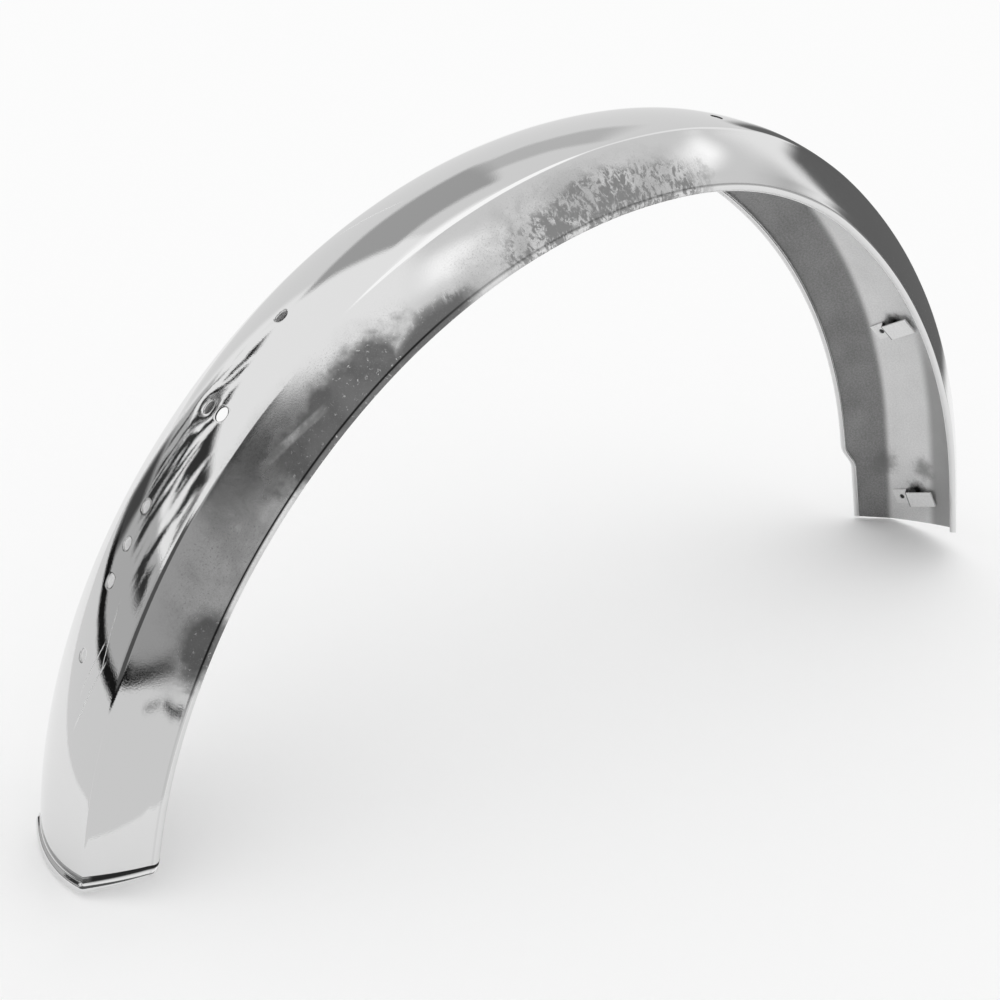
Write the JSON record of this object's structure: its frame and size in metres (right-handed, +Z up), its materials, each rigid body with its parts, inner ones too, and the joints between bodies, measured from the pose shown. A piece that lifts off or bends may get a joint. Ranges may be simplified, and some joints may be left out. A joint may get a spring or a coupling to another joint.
{
  "type": "moped rear mudguard",
  "caption": "Chromed steel rear mudguard for a moped: a pressed arch with an arched crown, flared walls and rolled edges that keeps spray off the rider.",
  "frame": {"origin": "centre of the guard's footprint at the level of its two ends, under the middle of the arch", "axes": "+X along the machine towards the front end, with the tail at -X; +Y along the wheel axle; +Z up"},
  "size_m": [0.5986, 0.0932, 0.2967],
  "materials": {
    "chromed_sheet": "worn bright plating outside with haze, flecks and fine scratches; satin grey inside",
    "clip_steel": "dull plated strip with a spot-weld mark"
  },
  "bodies": {
    "root": {"mudguard_shell": "chromed_sheet", "wire_clip_lower": "clip_steel", "wire_clip_upper": "clip_steel"}
  },
  "joints": []
}
